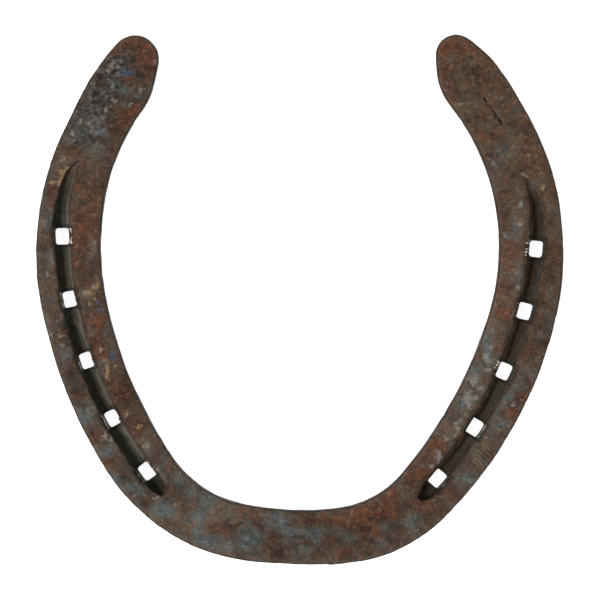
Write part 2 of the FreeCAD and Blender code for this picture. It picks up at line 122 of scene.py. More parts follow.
PALE = [  # small pale flecks, some worn and some painted glints on the left heel and the right crease's inner lip
    (41.8, -24.6, 0.9, 1.8), (43.6, -20.4, 0.7, 1.3), (39.4, -31.8, 0.7, 1.4), (46.6, -14.6, 0.6, 1.4),
    (-52.6, 2.1, 0.9, 0.6), (-51.3, 3.4, 0.7, 0.6), (-53.8, 1.6, 0.6, 0.5), (-50.4, 4.2, 0.5, 0.6),
    (-52.7, -1.2, 0.4, 0.5), (-51.6, 0.4, 0.4, 0.6), (-49.6, -12.6, 0.6, 0.7), (-48.7, -15.4, 0.4, 0.7),
    (-48.1, -17.8, 0.5, 1.8), (-45.9, -16.3, 0.4, 0.5), (-43.1, -28.4, 0.8, 0.5), (-40.2, -31.6, 0.9, 0.5),
    (-38.6, -39.6, 0.7, 0.4), (-35.6, -43, 0.5, 1.0), (-34.4, -45.6, 0.6, 0.5), (-38.4, -36.4, 0.8, 0.6),
    (-48.8, -33.6, 0.4, 0.8), (-47, -34.8, 0.6, 0.4), (-59.3, 35.2, 0.6, 0.9), (-58.4, 33, 0.6, 0.6),
    (-60, 32, 0.7, 0.5), (-61.7, 29.3, 0.8, 0.5), (-63.2, 6.4, 0.6, 0.5), (-59.9, -8.8, 0.5, 0.5),
    (-61.9, -8.4, 0.4, 0.4), (-47, 58.7, 0.6, 0.5), (-48.3, 57.2, 0.6, 0.5), (-47.3, 54.1, 0.3, 0.5),
    (-48.6, 50.8, 0.6, 0.3), (-46, 49.8, 0.6, 0.5), (-48.6, 47.6, 0.6, 0.5), (-39.6, 52.4, 0.6, 0.3),
    (-42.2, 48.8, 0.5, 0.5), (-36.3, 59.2, 0.3, 0.8), (-56.8, 41.4, 0.7, 0.7), (34.6, -39.4, 0.7, 1.5),
    (33.2, -41.6, 0.5, 0.6), (45.4, -22.2, 0.8, 0.4), (43.9, -24.2, 0.6, 0.5), (42.4, -25.8, 0.4, 1.2),
    (41.4, -28.7, 0.5, 0.5), (40, -30.2, 0.5, 0.5), (38.8, -33.8, 0.5, 0.4), (36.6, -34.8, 0.5, 0.4),
    (42.6, -22.8, 0.4, 0.5), (45.9, -34.3, 0.4, 0.6), (44.3, -36, 0.4, 0.3), (53.4, -25.9, 0.5, 0.4),
    (55.2, -24.7, 0.5, 0.3), (51.3, 16.3, 0.5, 0.6), (54.9, 24, 0.4, 0.9), (54.8, 19.2, 0.4, 0.8),
    (54, 7, 0.6, 0.5), (54.8, 3.2, 0.5, 0.9), (48.4, 34.6, 0.4, 0.6), (40.2, 48.8, 0.6, 0.5),
    (49.5, 46, 0.4, 0.6), (57.3, 36.2, 0.5, 0.5), (59.6, 31.8, 0.6, 0.4), (60.7, 28, 0.5, 0.6),
    (61, 16, 0.4, 0.4), (46.8, -17.6, 0.8, 0.5), (53.4, -3.6, 0.3, 0.6), (48, -11.6, 0.4, 0.8),
    (-59.6, -11.4, 0.4, 0.6), (-36.2, -49.2, 1.0, 0.3), (-46.3, 45.9, 0.4, 0.4), (-54.9, 44.6, 0.5, 0.4),
]
GOLD = [  # where the flecks are golden instead of grey
    (-51.5, 1.5, 3.5, 3.5), (-46, -22, 5, 12), (58, 30, 5, 8), (-60, 32, 4, 5), (53, -25, 4, 2),
]
DEEP_BLUE = [  # heat-blue spots
    (-50, -2.6, 0.7, 1.1), (-49, -8.2, 0.5, 0.7), (-46.7, -14, 0.7, 1.3), (-43.2, 56.8, 1.9, 0.9),
    (-40.4, 50.9, 0.7, 0.4), (-50.8, -0.6, 0.5, 0.6),
]
WARM = [  # broad stretches where the brown is warmer
    (43, 56, 14, 18), (56, 37, 10, 14), (63, 10, 4, 22), (-52, 22, 6, 16), (-40, 62, 8, 7), (-43, 44, 5, 8),
    (22, -54, 9, 6), (28, -42, 7, 5), (55, 12, 5, 14), (56, -22, 4, 8), (-43, -24, 4, 8), (-50, -8, 4, 8),
    (-46, 54, 6, 8),
]
DARK = [  # broad stretches a little darker than the rest
    (-46, 52, 6, 11), (-42, 58, 4, 7), (-43, -22, 4, 8), (-43, -48, 5, 5), (-29, -48, 5, 3),
    (0, -59, 15, 4), (62, 0, 2.5, 9), (-57, -20, 3, 10), (24, -56, 6, 4),
]
# the lighter stretch round (41, -23) is partly painted sheen of the glints by the right crease's inner lip
LIGHT = [(-20, -53, 9, 4), (41, -23, 5, 11), (49, -6, 4, 10), (55, 16, 3, 8)]  # and a little lighter
OLIVE = [  # broad stretches where the brown is greener
    (46, 52, 9, 13), (57, 34, 6, 9), (62, 12, 3, 14), (-52, 26, 4, 6), (43, -33, 3, 5),
]
PATCHES = {  # each list, how far its rims are bent, the seed of the bending and the length of its waves
    "bright": (BRIGHT_RUST, 1.6, 131, 2.6),
    "rust": (RUST, 1.8, 141, 2.6),
    "scale": (SCALE, 1.9, 151, 2.6),
    "pale": (PALE, 1.1, 161, 1.1),
    "gold": (GOLD, 1.0, 195, 2.6),
    "deep": (DEEP_BLUE, 0.6, 171, 1.2),
    "warm": (WARM, 4.0, 181, 2.6),
    "dark": (DARK, 4.0, 187, 2.6),
    "light": (LIGHT, 4.0, 185, 2.6),
    "olive": (OLIVE, 3.0, 191, 2.6),
}

LIP_RUN = [  # the pale outer lip round the heel end of each crease
    ((-60.4, 28.6), (-58.6, 32.6)), ((55.6, 31.6), (57.2, 30.4)), ((57.2, 30.4), (58.2, 28.9)),
]
NICK = ((50.5, 44.0), (46.1, 50.4))  # the thin nick in the right heel
HEEL_STRIP = ((-47.5, 60.0), (-56.0, 40.5))  # the middle of the left heel's battered patch
HEEL_HALF = (6.6, 4.4)  # how far from it the patch begins and is full
HEEL_LOW, HEEL_HIGH = (37.5, 40.0), (62.5, 59.5)  # the same from below and above, along y
GOUGE = ((-54.8, 49.2), (-49.2, 49.6))  # from that heel's outer edge inwards
DUG_PITS = [  # holes eaten into the left heel, given as the patches are
    (-51.4, 39.8, 0.9, 0.7), (-49, 49, 0.7, 1.3), (-46.8, 47.4, 1.3, 0.7), (-54.6, 39.2, 1.8, 0.5),
]
LUMPS = [  # (x, y, radius, height)
    (-40.3, 51.2, 1.5, 0.35), (-48.2, 47.6, 1.3, 0.3), (-43.4, 48.6, 1.6, 0.3), (-46.4, 50, 1.4, 0.3),
    (-47.8, 58, 1.5, 0.25), (-49, 42.3, 1.5, 0.2),
]
DISH = (-55.6, 36.8, 1.1, 0.9)  # the hollow at the heel end of the left crease
FILE_ARCS = (40.5, -44.5)  # the middle of the arcs filed beside the right branch's last hole
FILE_PATCH = (45.2, -40.0)  # the middle of the patch that shows them
FILE_RADIUS = (2.9, 1.6)  # how far from there the marks begin and are full
FILE_PITCH = 0.95
TOE_END = (-40.0, -46.0)  # between these places along y the creases turn into their darker toe ends
# how strongly each hole's outer and inner rim is burred, by side and number from the toe
BURRS = {
    (1, 0): (0.8, 0.3), (1, 1): (0.9, 0.2), (1, 2): (0.0, 0.8), (1, 3): (0.0, 0.8), (1, 4): (0.0, 1.0),
    (-1, 0): (0.7, 0.5), (-1, 1): (1.0, 0.0), (-1, 2): (1.0, 0.1), (-1, 3): (0.8, 0.0),
    (-1, 4): (0.5, 0.7),
}
TORN = {(-1, 1), (-1, 2), (-1, 3)}  # holes whose inner side is broken away unevenly
HATCH_PITCH = 0.8  # of the notches across the right branch's burrs

# the relief's heights, depths and spacings in mm
FACE_WAVE, WALL_WAVE = 0.09, 0.15
PLATE_RISE, SCALE_RISE = 0.06, 0.05
GRAIN_RISE, RUST_RISE = 0.045, 0.05
PIT_DEPTH, CHIP_DEPTH = 0.18, 0.28
HEEL_LUMPS, HEEL_WAVES, HEEL_SINK = 0.38, 0.22, 0.12
DUG_DEPTH, DISH_DEPTH = 0.45, 0.30
MARK_RISE, BURR_RISE, LIP_RISE = 0.05, 0.18, 0.14
TORN_WAVE = 0.60
CREASE_WAVE, CREASE_TOE_WAVE = 0.25, 0.45
PIT_SPACING, HEEL_LUMP_SPACING = 1.7, 1.5
# rounds of smoothing that find edges, round a crease's rim and find fine relief
BEND_ROUNDS, RIM_ROUNDS, FINE_ROUNDS = 14, {1: 26, -1: 12}, 3

VOXEL = 0.36  # mm
FACES = 195_000  # triangles in the finished shoe


# ---------------------------------------------------------------- sums on arrays of points
def smooth(low, high, value):
    """0 below low, 1 above high and an S-curve between; works downwards too."""
    t = np.clip((value - low) / (high - low), 0.0, 1.0)
    return t * t * (3.0 - 2.0 * t)


def lattice(ix, iy, iz, seed):
    """A repeatable random number from 0 to 1 for each whole-number cell."""
    mixed = (
        ix.astype(np.uint32) * np.uint32(374761393)
        + iy.astype(np.uint32) * np.uint32(668265263)
        + iz.astype(np.uint32) * np.uint32(2147483647)
        + np.uint32(seed * 974711 + 101)
    )
    mixed = (mixed ^ (mixed >> np.uint32(13))) * np.uint32(1274126177)
    mixed = (mixed ^ (mixed >> np.uint32(16))) * np.uint32(2246822519)
    return (mixed ^ (mixed >> np.uint32(15))).astype(np.float64) / 4294967295.0


def noise(points, size, seed):
    """Smooth noise from -1 to 1 whose lumps are about this many mm across."""
    scaled = points / size
    cell = np.floor(scaled).astype(np.int64)
    part = scaled - cell
    part = part * part * part * (part * (part * 6 - 15) + 10)
    total = np.zeros(len(points))
    for dx in (0, 1):
        for dy in (0, 1):
            for dz in (0, 1):
                weight = (
                    (part[:, 0] if dx else 1 - part[:, 0])
                    * (part[:, 1] if dy else 1 - part[:, 1])
                    * (part[:, 2] if dz else 1 - part[:, 2])
                )
                total += weight * lattice(cell[:, 0] + dx, cell[:, 1] + dy, cell[:, 2] + dz, seed)
    return total * 2 - 1


def fractal(points, size, seed, octaves, gain=0.5):
    """Noise of this size with finer and weaker noise on top."""
    total, weight, norm = np.zeros(len(points)), 1.0, 0.0
    for octave in range(octaves):
        total += weight * noise(points + 17.3 * octave, size / 2**octave, seed + octave)
        norm += weight
        weight *= gain
    return total / norm


def cells(points, size, seed):
    """Distances to the two nearest scattered seeds, in cell widths, and the nearest one's random number."""
    scaled = points / size
    cell = np.floor(scaled).astype(np.int64)
    first, second = np.full(len(points), 9.0), np.full(len(points), 9.0)
    label = np.zeros(len(points))
    for dx in (-1, 0, 1):
        for dy in (-1, 0, 1):
            for dz in (-1, 0, 1):
                at = cell + (dx, dy, dz)
                spot = np.stack([lattice(at[:, 0], at[:, 1], at[:, 2], seed + k) for k in range(3)], 1)
                far = np.linalg.norm(at + spot - scaled, axis=1)
                closer = far < first
                second = np.where(closer, first, np.minimum(second, far))
                label = np.where(closer, lattice(at[:, 0], at[:, 1], at[:, 2], seed + 7), label)
                first = np.where(closer, far, first)
    return first, second, label


def along_segment(points, start, end):
    """Distance on the plan from a segment, and how far along it from 0 to 1."""
    start, end = np.array(start, float), np.array(end, float)
    run = end - start
    part = np.clip((points[:, :2] - start) @ run / (run @ run), 0, 1)
    return np.linalg.norm(points[:, :2] - (start + part[:, None] * run), axis=1), part


def patches(points, table, warp, seed, waves):
    """How deep each point is inside the nearest listed patch: 1 at its middle, 0.5 at its rim, 0 outside."""
    x = points[:, 0] + warp * fractal(points, waves, seed, 4, 0.7)
    y = points[:, 1] + warp * fractal(points, waves, seed + 50, 4, 0.7)
    best = np.zeros(len(points))
    for px, py, rx, ry in table:
        near = np.flatnonzero((np.abs(x - px) < 2 * rx) & (np.abs(y - py) < 2 * ry))
        away = np.hypot((x[near] - px) / rx, (y[near] - py) / ry)
        best[near] = np.maximum(best[near], np.clip(1 - 0.5 * away, 0, 1))
    return best


# ---------------------------------------------------------------- places on the shoe
def crease_point(side, angle):
    turn = math.radians(angle)
    place = CREASES[side]
    x = -CREASE_ACROSS + CREASE_RADIUS * math.cos(turn)
    return side * x, place["y"] + CREASE_RADIUS * math.sin(turn)


def crease_line(side):
    """Points about 1 mm apart along a crease, from its toe end to where it fades out at the heel."""
    start = -CREASES[side]["start"] - TOE_OVERRUN
    end = -CREASES[side]["start"] + CREASE_SWEEP
    line = [crease_point(side, angle) for angle in np.linspace(start, end, 76)]
    x, y = crease_point(side, end)
    turn = math.radians(end)
    radius = CREASES[side]["run_radius"]
    across, up = side * x - radius * math.cos(turn), y - radius * math.sin(turn)
    for step in np.radians(np.linspace(0, CREASES[side]["run_sweep"], 16)[1:]):
        line.append((side * (across + radius * math.cos(turn + step)), up + radius * math.sin(turn + step)))
    return np.array(line)


def nail_holes():
    """Each hole as side, number from the toe, centre and the two plan directions along and across."""
    holes = []
    for side in (1, -1):
        for number in range(NAILS):
            angle = -CREASES[side]["nail"] + number * math.degrees(NAIL_PITCH / CREASE_RADIUS)
            x, y = crease_point(side, angle)
            turn = math.radians(angle)
            outward = np.array([side * math.cos(turn), math.sin(turn)])
            onward = np.array([-side * math.sin(turn), math.cos(turn)])
            holes.append((side, number, np.array([x, y]), onward, outward))
    return holes


def from_crease(points):
    """Distance on the plan from the nearest crease's middle line, in mm, and the same measured outwards."""
    nearest, outwards = np.full(len(points), 99.0), np.full(len(points), 99.0)
    for side in (1, -1):
        line = crease_line(side)
        heading = np.gradient(line, axis=0)
        heading /= np.linalg.norm(heading, axis=1)[:, None]
        mine = np.flatnonzero(points[:, 0] * side > 0)
        for chunk in np.array_split(mine, max(len(mine) // 20000, 1)):
            offset = points[chunk, None, :2] - line[None]
            away = np.linalg.norm(offset, axis=2)
            pick = away.argmin(1)
            row = np.arange(len(chunk))
            nearest[chunk] = away[row, pick]
            turned = heading[pick, 0] * offset[row, pick, 1] - heading[pick, 1] * offset[row, pick, 0]
            outwards[chunk] = -side * turned
    return nearest, outwards


# ---------------------------------------------------------------- the shoe's mesh
def dense_copy(node):
    """The CAD node's mesh, welded and remeshed into even small faces."""
    bm = bmesh.new()
    bm.from_mesh(node.data)
    bmesh.ops.remove_doubles(bm, verts=bm.verts, dist=1e-6)
    mesh = bpy.data.meshes.new("welded")
    bm.to_mesh(mesh)
    bm.free()
    coarse = bpy.data.objects.new("welded", mesh)
    bpy.context.scene.collection.objects.link(coarse)
    remesh = coarse.modifiers.new("remesh", "REMESH")
    remesh.mode = "VOXEL"
    remesh.voxel_size = VOXEL * MM
    remesh.use_smooth_shade = True
    graph = bpy.context.evaluated_depsgraph_get()
    dense = bpy.data.meshes.new_from_object(coarse.evaluated_get(graph))
    bpy.data.objects.remove(coarse)
    piece = bpy.data.objects.new("horseshoe", dense)
    bpy.context.scene.collection.objects.link(piece)
    return piece


def smoothed(values, edges, rounds):
    """Average each vertex's value with its neighbours', so many times."""
    count = np.bincount(edges.ravel(), minlength=len(values))[:, None]
    current = values.astype(float)
    for _ in range(rounds):
        total = np.zeros_like(current)
        for axis in range(current.shape[1]):
            total[:, axis] = np.bincount(edges[:, 0], current[edges[:, 1], axis], len(values))
            total[:, axis] += np.bincount(edges[:, 1], current[edges[:, 0], axis], len(values))
        current = 0.5 * current + 0.5 * total / count
    return current


class Surface:
    """The mesh's vertices in mm, and what every mask asks about them."""

    def __init__(self, mesh):
        points = np.empty(len(mesh.vertices) * 3)
        mesh.vertices.foreach_get("co", points)
        normals = np.empty(len(mesh.vertices) * 3)
        mesh.vertex_normals.foreach_get("vector", normals)
        edges = np.empty(len(mesh.edges) * 2, dtype=np.int64)
        mesh.edges.foreach_get("vertices", edges)
        self.points, self.normals = points.reshape(-1, 3) / MM, normals.reshape(-1, 3)
        self.edges = edges.reshape(-1, 2)
        self.x, self.y, self.z = self.points.T

        self.near_crease, self.outwards = from_crease(self.points)
        self.hollow = smooth(4.2, 3.0, self.near_crease) * np.clip((TOP - self.z) / CREASE_DEPTH, 0, 1)
        self.flat = smooth(0.5, 0.95, np.abs(self.normals[:, 2]))
        self.wall = 1 - self.flat
        self.ground = smooth(0.2, 0.8, self.normals[:, 2]) * smooth(TOP - 1.4, TOP - 0.5, self.z)
        bend = self.points - smoothed(self.points, self.edges, BEND_ROUNDS)
        # how many mm each vertex stands proud of its neighbourhood, negative in hollows
        self.ridge = np.einsum("ij,ij->i", bend, self.normals)
        self.grain = fractal(self.points, 1.6, 31, 3, 0.65)

    def away_from(self, x, y, half_width=1.0, half_length=1.0):
        """Distance on the plan from a place, in mm or in the half sizes of a patch round it."""
        return np.hypot((self.x - x) / half_width, (self.y - y) / half_length)


def around_holes(s):
    """Masks round the nail holes: bright burrs on their rims, torn inner mouths, bores and a ring of painted
    shade round each.
    """
    points, z = s.points, s.z
    burr, torn, inside, rim_shade = (np.zeros(len(points)) for _ in range(4))
    for side, number, centre, onward, outward in nail_holes():
        tilt = math.tan(math.radians(NAIL_TILT * (1 - number / (NAILS - 1))))
        offset = points[:, :2] - centre
        near = np.flatnonzero(np.abs(offset).max(1) < 5)
        u, v = offset[near] @ onward, offset[near] @ outward - (z[near] - NAIL_LEVEL) * tilt
        half = NAIL_HALF_ACROSS + NAIL_FLARE * (z[near] - NAIL_LEVEL)
        within = smooth(NAIL_HALF_LONG + 0.5, NAIL_HALF_LONG, np.abs(u))
        within *= smooth(half + 0.5, half + 0.1, np.abs(v))
        inside[near] = np.maximum(inside[near], within)

        # the burrs are broken along their length, and hatched by the punch on the right branch
        broken = smooth(-0.35, 0.1, noise(points[near] + 7.0 * number * side, 0.9, 70))
        hatching = smooth(-0.7, 0.3, np.sin(2 * math.pi * u / HATCH_PITCH + number))
        hatched = broken * hatching if side > 0 else broken
        ends = smooth(NAIL_HALF_LONG + 0.1, NAIL_HALF_LONG - 0.4, np.abs(u))
        waver = 0.4 * noise(points[near] + 5.0 * number * side, 1.3, 72)
        outer_rim = smooth(0.4, 0.1, np.abs(v - half - 0.25 + waver)) * smooth(3.6, 4.4, z[near])
        outer_rim *= smooth(7.2, 6.4, z[near])
        inner_rim = smooth(0.6, 0.2, np.abs(v + half + 0.3 + waver)) * smooth(4.8, 5.6, z[near])
        outer_part, inner_part = BURRS[side, number]
        rim = np.maximum(outer_part * outer_rim * broken, inner_part * inner_rim * hatched) * ends
        burr[near] = np.maximum(burr[near], rim)

        if (side, number) in TORN:
            mouth = smooth(0.9, 0.2, np.abs(v + half)) * smooth(2.8, 2.2, np.abs(u))
            mouth *= smooth(5.5, 4.0, z[near])
            torn[near] = np.maximum(torn[near], mouth)
        # a ring of painted shade round each hole's mouth
        rough = 0.35 * noise(points[near] + 3.0 * number * side, 1.1, 74)
        dark = smooth(NAIL_HALF_LONG + 1.1, NAIL_HALF_LONG + 0.4, np.abs(u) + rough)
        dark *= smooth(half + 1.2, half + 0.4, np.abs(v) + rough)
        rim_shade[near] = np.maximum(rim_shade[near], dark)
    return burr, torn, inside, rim_shade


def rust_and_scale(s):
    """The listed patches on the ground face, and loose rust and scale everywhere else."""
    points, ground = s.points, s.ground
    spots = {name: patches(points, *settings) for name, settings in PATCHES.items()}
    loose = 1 - 0.55 * ground
    rust_field = fractal(points, 5.0, 101, 4, 0.6)
    scale_field = fractal(points, 6.0, 111, 4, 0.6)
    speck = fractal(points, 1.3, 121, 3, 0.65)
    bright = spots["bright"] * ground
    rust = np.maximum(spots["rust"] * ground, bright)
    rust = np.maximum(rust, loose * smooth(-0.25, 0.75, rust_field)) + 0.30 * speck
    scale = np.maximum(spots["scale"] * ground, 0.9 * loose * smooth(-0.1, 0.8, scale_field)) + 0.22 * speck
    return {
        "rust": rust,
        "bright": bright,
        "scale": scale,
        "warm": spots["warm"],
        "olive": spots["olive"] * ground,
        "tone": spots["light"] - spots["dark"],
        "pale": spots["pale"] * ground,
        "gold": 0.2 * spots["gold"] - 0.08,
        "deep": spots["deep"] * ground,
    }


def pits(s):
    """Small round pits, in swarms."""
    warped = s.points + 0.35 * fractal(s.points, 1.2, 40, 2)[:, None]
    away, _, label = cells(warped, PIT_SPACING, 41)
    swarm = smooth(0.0, 0.5, fractal(s.points, 11, 45, 3))
    return smooth(0.42, 0.05, away / (0.35 + 0.9 * label)) * (label > 0.55) * swarm * (1 - 0.7 * s.hollow)


def battered_heel(s):
    """The left heel's rough patch, the random number of each lump in it and the gaps between them."""
    points = s.points
    strip, _ = along_segment(points, *HEEL_STRIP)
    battered = smooth(*HEEL_HALF, strip + 1.3 * fractal(points, 4, 61, 3)) * smooth(*HEEL_LOW, s.y) * s.ground
    battered *= smooth(*HEEL_HIGH, s.y)
    bent = points * (1, 1, 0.6) + 0.6 * fractal(points, 1.6, 63, 2)[:, None]
    first, second, lump = cells(bent, HEEL_LUMP_SPACING, 62)
    gap = smooth(0.0, 0.35, second - first + 0.25 * fractal(points, 1.0, 66, 2))
    return battered, lump, gap


def dug_marks(s):
    """Deep marks: the gouge and the eaten holes of the left heel, and the nick in the right one."""
    gouge, _ = along_segment(s.points, *GOUGE)
    dug = smooth(0.8, 0.0, gouge + 0.9 * s.grain) * s.ground
    for hole in DUG_PITS:
        dug = np.maximum(dug, smooth(1.1, 0.1, s.away_from(*hole) + 0.9 * s.grain) * s.ground)
    line, part = along_segment(s.points, *NICK)
    nick = smooth(0.62 - 0.3 * part, 0.1, line + 0.6 * s.grain) * s.ground
    return np.maximum(dug, nick)


def file_marks(s):
    marks = smooth(*FILE_RADIUS, s.away_from(*FILE_PATCH) + 0.8 * s.grain) * s.ground
    marks *= np.sin(2 * math.pi * s.away_from(*FILE_ARCS) / FILE_PITCH)
    return marks


def crease_lips(s):
    lip = np.zeros(len(s.points))
    for start, end in LIP_RUN:
        away, _ = along_segment(s.points, start, end)
        lip = np.maximum(lip, smooth(0.55, 0.2, away) * s.ground)
    return lip


def worn_rims(s, inside):
    """The points with the creases' upper edges worn round, unevenly, and more so on the right."""
    rim = smooth(0.02, 0.12, s.ridge) * smooth(4.2, 3.2, s.near_crease) * (1 - inside)
    rim *= np.where(s.x > 0, 1.0, 0.35 + 0.65 * smooth(1.0, -1.0, s.outwards))
    rim = (rim * (0.55 + 0.45 * smooth(-0.3, 0.3, fractal(s.points, 3.5, 91, 2))))[:, None]
    right, left = (smoothed(s.points, s.edges, RIM_ROUNDS[side]) for side in (1, -1))
    soft = np.where((s.x > 0)[:, None], right, left)
    return s.points * (1 - rim) + soft * rim


def crease_shades(s):
    """Masks of the crease floor's colour, partly grime and partly painted shade, the painted light on the
    slopes beside it and the darker toe ends of the creases.
    """
    wobble = 0.5 * fractal(s.points, 2.2, 95, 3)
    depth, outwards, right = TOP - s.z + wobble, s.outwards + wobble, s.x > 0
    in_crease = smooth(4.4, 3.4, s.near_crease) * smooth(CREASE_FLOOR - 1.3, CREASE_FLOOR - 0.6, s.z)
    below = smooth(0.3, 2.0, depth) * in_crease
    # the floor's darkening is partly grime and partly painted shade
    floor_shade = smooth(1.2, 3.6, depth) * in_crease
    floor_shade *= smooth(-2.1, -0.7, outwards)
    # painted light on the slopes where the crease's shadow falls; the right branch's inner slope gets little
    # of it and stays in shade
    outer_slope = smooth(0.6, 1.9, outwards) * right
    inner_slope = smooth(0.2, -1.2, outwards) * np.where(right, 0.3, 1.0)
    toe_end = smooth(*TOE_END, s.y + wobble)
    slope = np.maximum(inner_slope, outer_slope) * below
    slope *= 1 - 0.8 * toe_end
    return np.maximum(floor_shade, toe_end * below), slope, 0.9 * toe_end * below


def forge(piece):
    """Push the forged and corroded relief into the mesh and store the masks for the material."""
    mesh = piece.data
    s = Surface(mesh)
    points, ground, wall, hollow, grain = s.points, s.ground, s.wall, s.hollow, s.grain
    burr, torn, inside, rim_shade = around_holes(s)
    masks = rust_and_scale(s)

    # hammer and rolling waves, plates of scale with crisp rims, and crumbling rust
    push = FACE_WAVE * fractal(points, 15, 11, 3) * s.flat + WALL_WAVE * fractal(points, 9, 12, 3) * wall
    plate = smooth(-0.04, 0.05, fractal(points, 4.5, 21, 4, 0.55))
    proud_scale = smooth(0.42, 0.6, masks["scale"]) * ground
    push += PLATE_RISE * plate * (1 - 0.7 * hollow) + SCALE_RISE * proud_scale
    push += (GRAIN_RISE + RUST_RISE * smooth(0.35, 0.7, masks["rust"])) * grain * (1 - 0.5 * hollow)
    # pits, and small chips knocked out of the edges
    pit = pits(s)
    push -= PIT_DEPTH * pit
    chipped = smooth(0.15, 0.45, fractal(points, 2.6, 51, 3)) * smooth(0.05, 0.16, s.ridge)
    push -= CHIP_DEPTH * chipped * (1 - inside)
    # the battered left heel, the deep marks and the dished end of the left crease
    battered, lump, gap = battered_heel(s)
    heel_relief = HEEL_LUMPS * gap * (lump - 0.25) + HEEL_WAVES * fractal(points, 2.4, 64, 2)
    push += battered * (heel_relief - HEEL_SINK)
    dug = dug_marks(s)
    push -= DUG_DEPTH * dug
    for x, y, radius, rise in LUMPS:
        push += rise * smooth(radius, 0.15 * radius, s.away_from(x, y) + 0.3 * grain) * ground
    push -= DISH_DEPTH * smooth(2.1, 0.5, s.away_from(*DISH)) * ground
    marks = file_marks(s)
    push += MARK_RISE * marks
    # the creases' walls are ragged, most so at the toe end, and the holes' rims burred or torn
    ragged = CREASE_WAVE + CREASE_TOE_WAVE * smooth(-38.0, -46.0, s.y)
    push += ragged * fractal(points, 2.0, 97, 3) * smooth(4.2, 3.4, s.near_crease) * wall * (1 - inside)
    lip = crease_lips(s)
    push += BURR_RISE * burr + TORN_WAVE * torn * fractal(points, 1.2, 81, 3) + LIP_RISE * lip
    push = np.where(s.z < 0.3, np.minimum(push, 0.0), push)  # nothing sinks into the floor

    moved = worn_rims(s, inside) + s.normals * push[:, None]
    moved[:, 2] = np.maximum(moved[:, 2], 0.0)
    mesh.vertices.foreach_set("co", (moved * MM).ravel())
    mesh.update()

    fine = moved - smoothed(moved, s.edges, FINE_ROUNDS)
    relief = np.einsum("ij,ij->i", fine, s.normals)
    relief *= smooth(3.0, 4.5, s.near_crease) * (1 - 0.7 * smooth(0.05, 0.3, dug))
    # painted shade on the side faces and rounded top edges, weaker lower down
    sides = np.maximum(wall, smooth(TOP - 0.35, TOP - 1.1, s.z)) * smooth(3.6, 4.8, s.near_crease)
    sides *= 1 - 0.4 * smooth(TOP - 1.6, TOP - 4.0, s.z)
    crease, slope, toe_grime = crease_shades(s)
    masks["pale"] = np.maximum(masks["pale"], 0.8 * lip)
    masks.update(
        sides=sides, crease=crease, slope=slope, depth=hollow, right=smooth(-1, 1, s.x),
        grime=np.maximum(rim_shade, toe_grime), burr=burr, dug=np.maximum(dug, 0.5 * pit),
        battered=battered, lump=lump, gap=gap, marks=marks,
        ridge=np.clip(s.ridge * smooth(3.0, 4.5, s.near_crease) * 4, -1, 1),
        relief=np.clip(relief * 12, -1, 1),
    )
    for name, values in masks.items():
        layer = mesh.attributes.new(name, "FLOAT", "POINT")
        layer.data.foreach_set("value", np.ascontiguousarray(values, dtype=np.float32))


def thin_out(piece):
    """Merge the flattest faces until the piece is small enough to hand on whole."""
    piece.data.calc_loop_triangles()
    thinner = piece.modifiers.new("thinner", "DECIMATE")
    thinner.ratio = FACES / len(piece.data.loop_triangles)
    graph = bpy.context.evaluated_depsgraph_get()
    thin = bpy.data.meshes.new_from_object(piece.evaluated_get(graph))
    piece.modifiers.remove(thinner)
    piece.data = thin
    thin.shade_smooth()


shoe = dense_copy(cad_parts[NODE])
forge(shoe)
thin_out(shoe)


# ---------------------------------------------------------------- material
def colour(red, green, blue):
    """A linear colour from the usual 0 to 255 display values."""
    return tuple((((c / 255) + 0.055) / 1.055) ** 2.4 for c in (red, green, blue)) + (1.0,)


BLUE_SCALE, GREEN_SCALE = colour(72, 83, 86), colour(77, 82, 79)
OLIVE_GREY, BROWN, DEEP_BROWN = colour(80, 76, 67), colour(81, 68, 57), colour(79, 61, 48)
RED_BROWN, ORANGE = colour(82, 56, 41), colour(94, 56, 34)
DARK_OLIVE, TAWNY = colour(72, 61, 45), colour(85, 65, 41)
GREENISH, REDDISH = colour(75, 72, 60), colour(98, 64, 55)
DARK_RED, LILAC = colour(82, 46, 34), colour(104, 96, 94)
NAVY, STEEL_BLUE = colour(42, 54, 80), colour(66, 76, 88)
# the grey of the pale flecks is partly worn metal and partly painted glints
GREY_FLECK_AND_GLINT, WORN_GOLD = colour(122, 119, 116), colour(138, 116, 82)
DUST, FILED, RUBBED = colour(118, 108, 98), colour(118, 104, 90), colour(106, 92, 78)
# the side faces' two colours are painted shade
HOLE_BROWN, SIDE_SHADE_DARK, SIDE_SHADE_BROWN = colour(44, 34, 27), colour(36, 28, 23), colour(46, 31, 21)
# the slopes' colours are painted light, lightest deep in the crease
SLOPE_DARK, SLOPE_LIGHT, SLOPE_DEEP_PAINTED_LIGHT = colour(88, 82, 73), colour(108, 103, 94), colour(132, 128, 118)
# the first colour is painted shade round the holes, and the darker toe ends of the creases
HOLE_SHADE_TOE_DARK, BARE_METAL = colour(34, 30, 24), colour(196, 189, 178)
# the crease floor's colours are partly grime and partly painted shade
FLOOR_DARK = (colour(44, 46, 38), colour(35, 31, 22))  # the crease floor, left and right
FLOOR_LIGHT = (colour(60, 60, 50), colour(50, 42, 30))
HEEL_GREYS = (  # the lumps of the battered heel: (random number, colour)
    (0.0, colour(76, 52, 40)), (0.22, colour(72, 62, 55)), (0.42, colour(76, 82, 82)),
    (0.62, colour(86, 82, 78)), (0.82, colour(92, 90, 88)), (1.0, colour(116, 113, 105)),
)
RUST_COLOURS = (  # (hue, colour)
    (0.0, BLUE_SCALE), (0.24, GREEN_SCALE), (0.33, OLIVE_GREY), (0.50, BROWN), (0.62, DEEP_BROWN),
    (0.70, RED_BROWN), (1.0, ORANGE),
)


